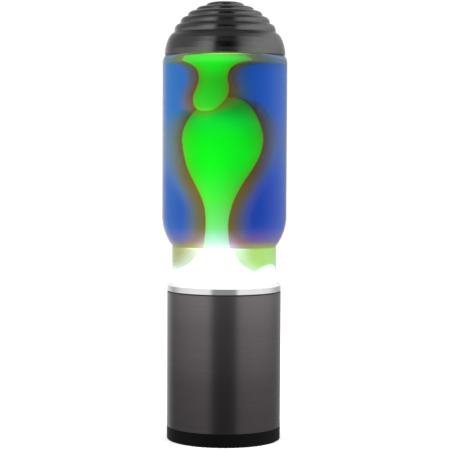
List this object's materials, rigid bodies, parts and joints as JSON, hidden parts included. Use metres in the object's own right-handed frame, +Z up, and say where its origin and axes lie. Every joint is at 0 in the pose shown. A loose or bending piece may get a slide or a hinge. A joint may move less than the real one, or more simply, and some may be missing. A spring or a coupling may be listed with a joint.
{
  "type": "lava lamp",
  "caption": "Lava lamp: a liquid-filled glass bottle with glowing wax under a stepped metal cap, standing in a cylindrical metal base with a reflector bulb inside.",
  "frame": {"origin": "on the surface the lamp stands on, under the middle of its foot", "axes": "+Z up along the lamp's axis; -Y is the front; the cord inlet faces +Y"},
  "size_m": [0.101, 0.101, 0.355],
  "materials": {
    "black_plastic": "fine moulded black",
    "pad_rubber": "matt black rubber",
    "brushed_metal": "dark grey, brushed round the axis",
    "polished_ring": "turned and polished",
    "cushion_rubber": "pale silicone",
    "plated_steel": "zinc plated",
    "white_ceramic": "cream ceramic",
    "contact_brass": "plain brass",
    "brown_insulation": "satin wire insulation",
    "blue_insulation": "satin wire insulation",
    "bulb_glass": "silvered reflector with a frosted face",
    "black_glass": "black glass insulator",
    "solder": "soldered tip",
    "filament_wire": "glowing coiled wire",
    "bottle_glass": "clear, fire polished",
    "liner_plastic": "soft liner",
    "blue_liquid": "clear blue-violet liquid",
    "lit_wax": "wax lit white from below",
    "green_wax": "glowing green wax",
    "dark_cap_metal": "satin dark grey",
    "clear_rubber": "translucent silicone"
  },
  "bodies": {
    "base": {"foot": "black_plastic", "foot_pads": "pad_rubber", "base_sleeve": "brushed_metal", "collar_ring": "polished_ring", "bottle_seat": "black_plastic", "seat_cushion": "cushion_rubber", "tie_screws": "plated_steel", "holder_bracket": "plated_steel", "bracket_screws": "plated_steel", "holder_nipple": "plated_steel", "nipple_nut": "plated_steel", "lampholder_body": "white_ceramic", "screw_shell": "contact_brass", "centre_contact": "contact_brass", "holder_terminals": "contact_brass", "terminal_block": "white_ceramic", "terminal_screws": "plated_steel", "live_lead": "brown_insulation", "neutral_lead": "blue_insulation", "cord_grommet": "pad_rubber"},
    "bulb_tip": {"bulb_insulator": "black_glass", "bulb_contact": "solder"},
    "bulb": {"bulb_glass": "bulb_glass", "bulb_cap": "plated_steel", "bulb_stem": "bulb_glass", "filament": "filament_wire"},
    "bottle": {"bottle_glass": "bottle_glass", "crown_cap": "plated_steel", "crown_liner": "liner_plastic", "liquid": "blue_liquid", "wax_pool": "lit_wax", "wax_riser": "green_wax", "wax_pendant": "green_wax", "wax_side_mound": "lit_wax", "heating_coil": "plated_steel"},
    "cap": {"top_cap": "dark_cap_metal", "cap_gasket": "clear_rubber"}
  },
  "joints": [
    {"name": "bottle_lift", "type": "slide", "parent": "base", "child": "bottle", "axis": [0, 0, 1], "range_m": [0, 0.045]},
    {"name": "cap_lift", "type": "slide", "parent": "bottle", "child": "cap", "axis": [0, 0, 1], "range_m": [0, 0.04]},
    {"name": "bulb_rise", "type": "slide", "parent": "base", "child": "bulb_tip", "axis": [0, 0, 1], "range_m": [0, 0.0057]},
    {"name": "bulb_turn", "type": "hinge", "parent": "bulb_tip", "child": "bulb", "pos_m": [0, 0, 0.05], "axis": [0, 0, 1], "range_deg": [0, 720]}
  ],
  "couplings": [
    {"joint": "bulb_rise", "follows": "bulb_turn", "m_per_rad": 0.00044882}
  ]
}
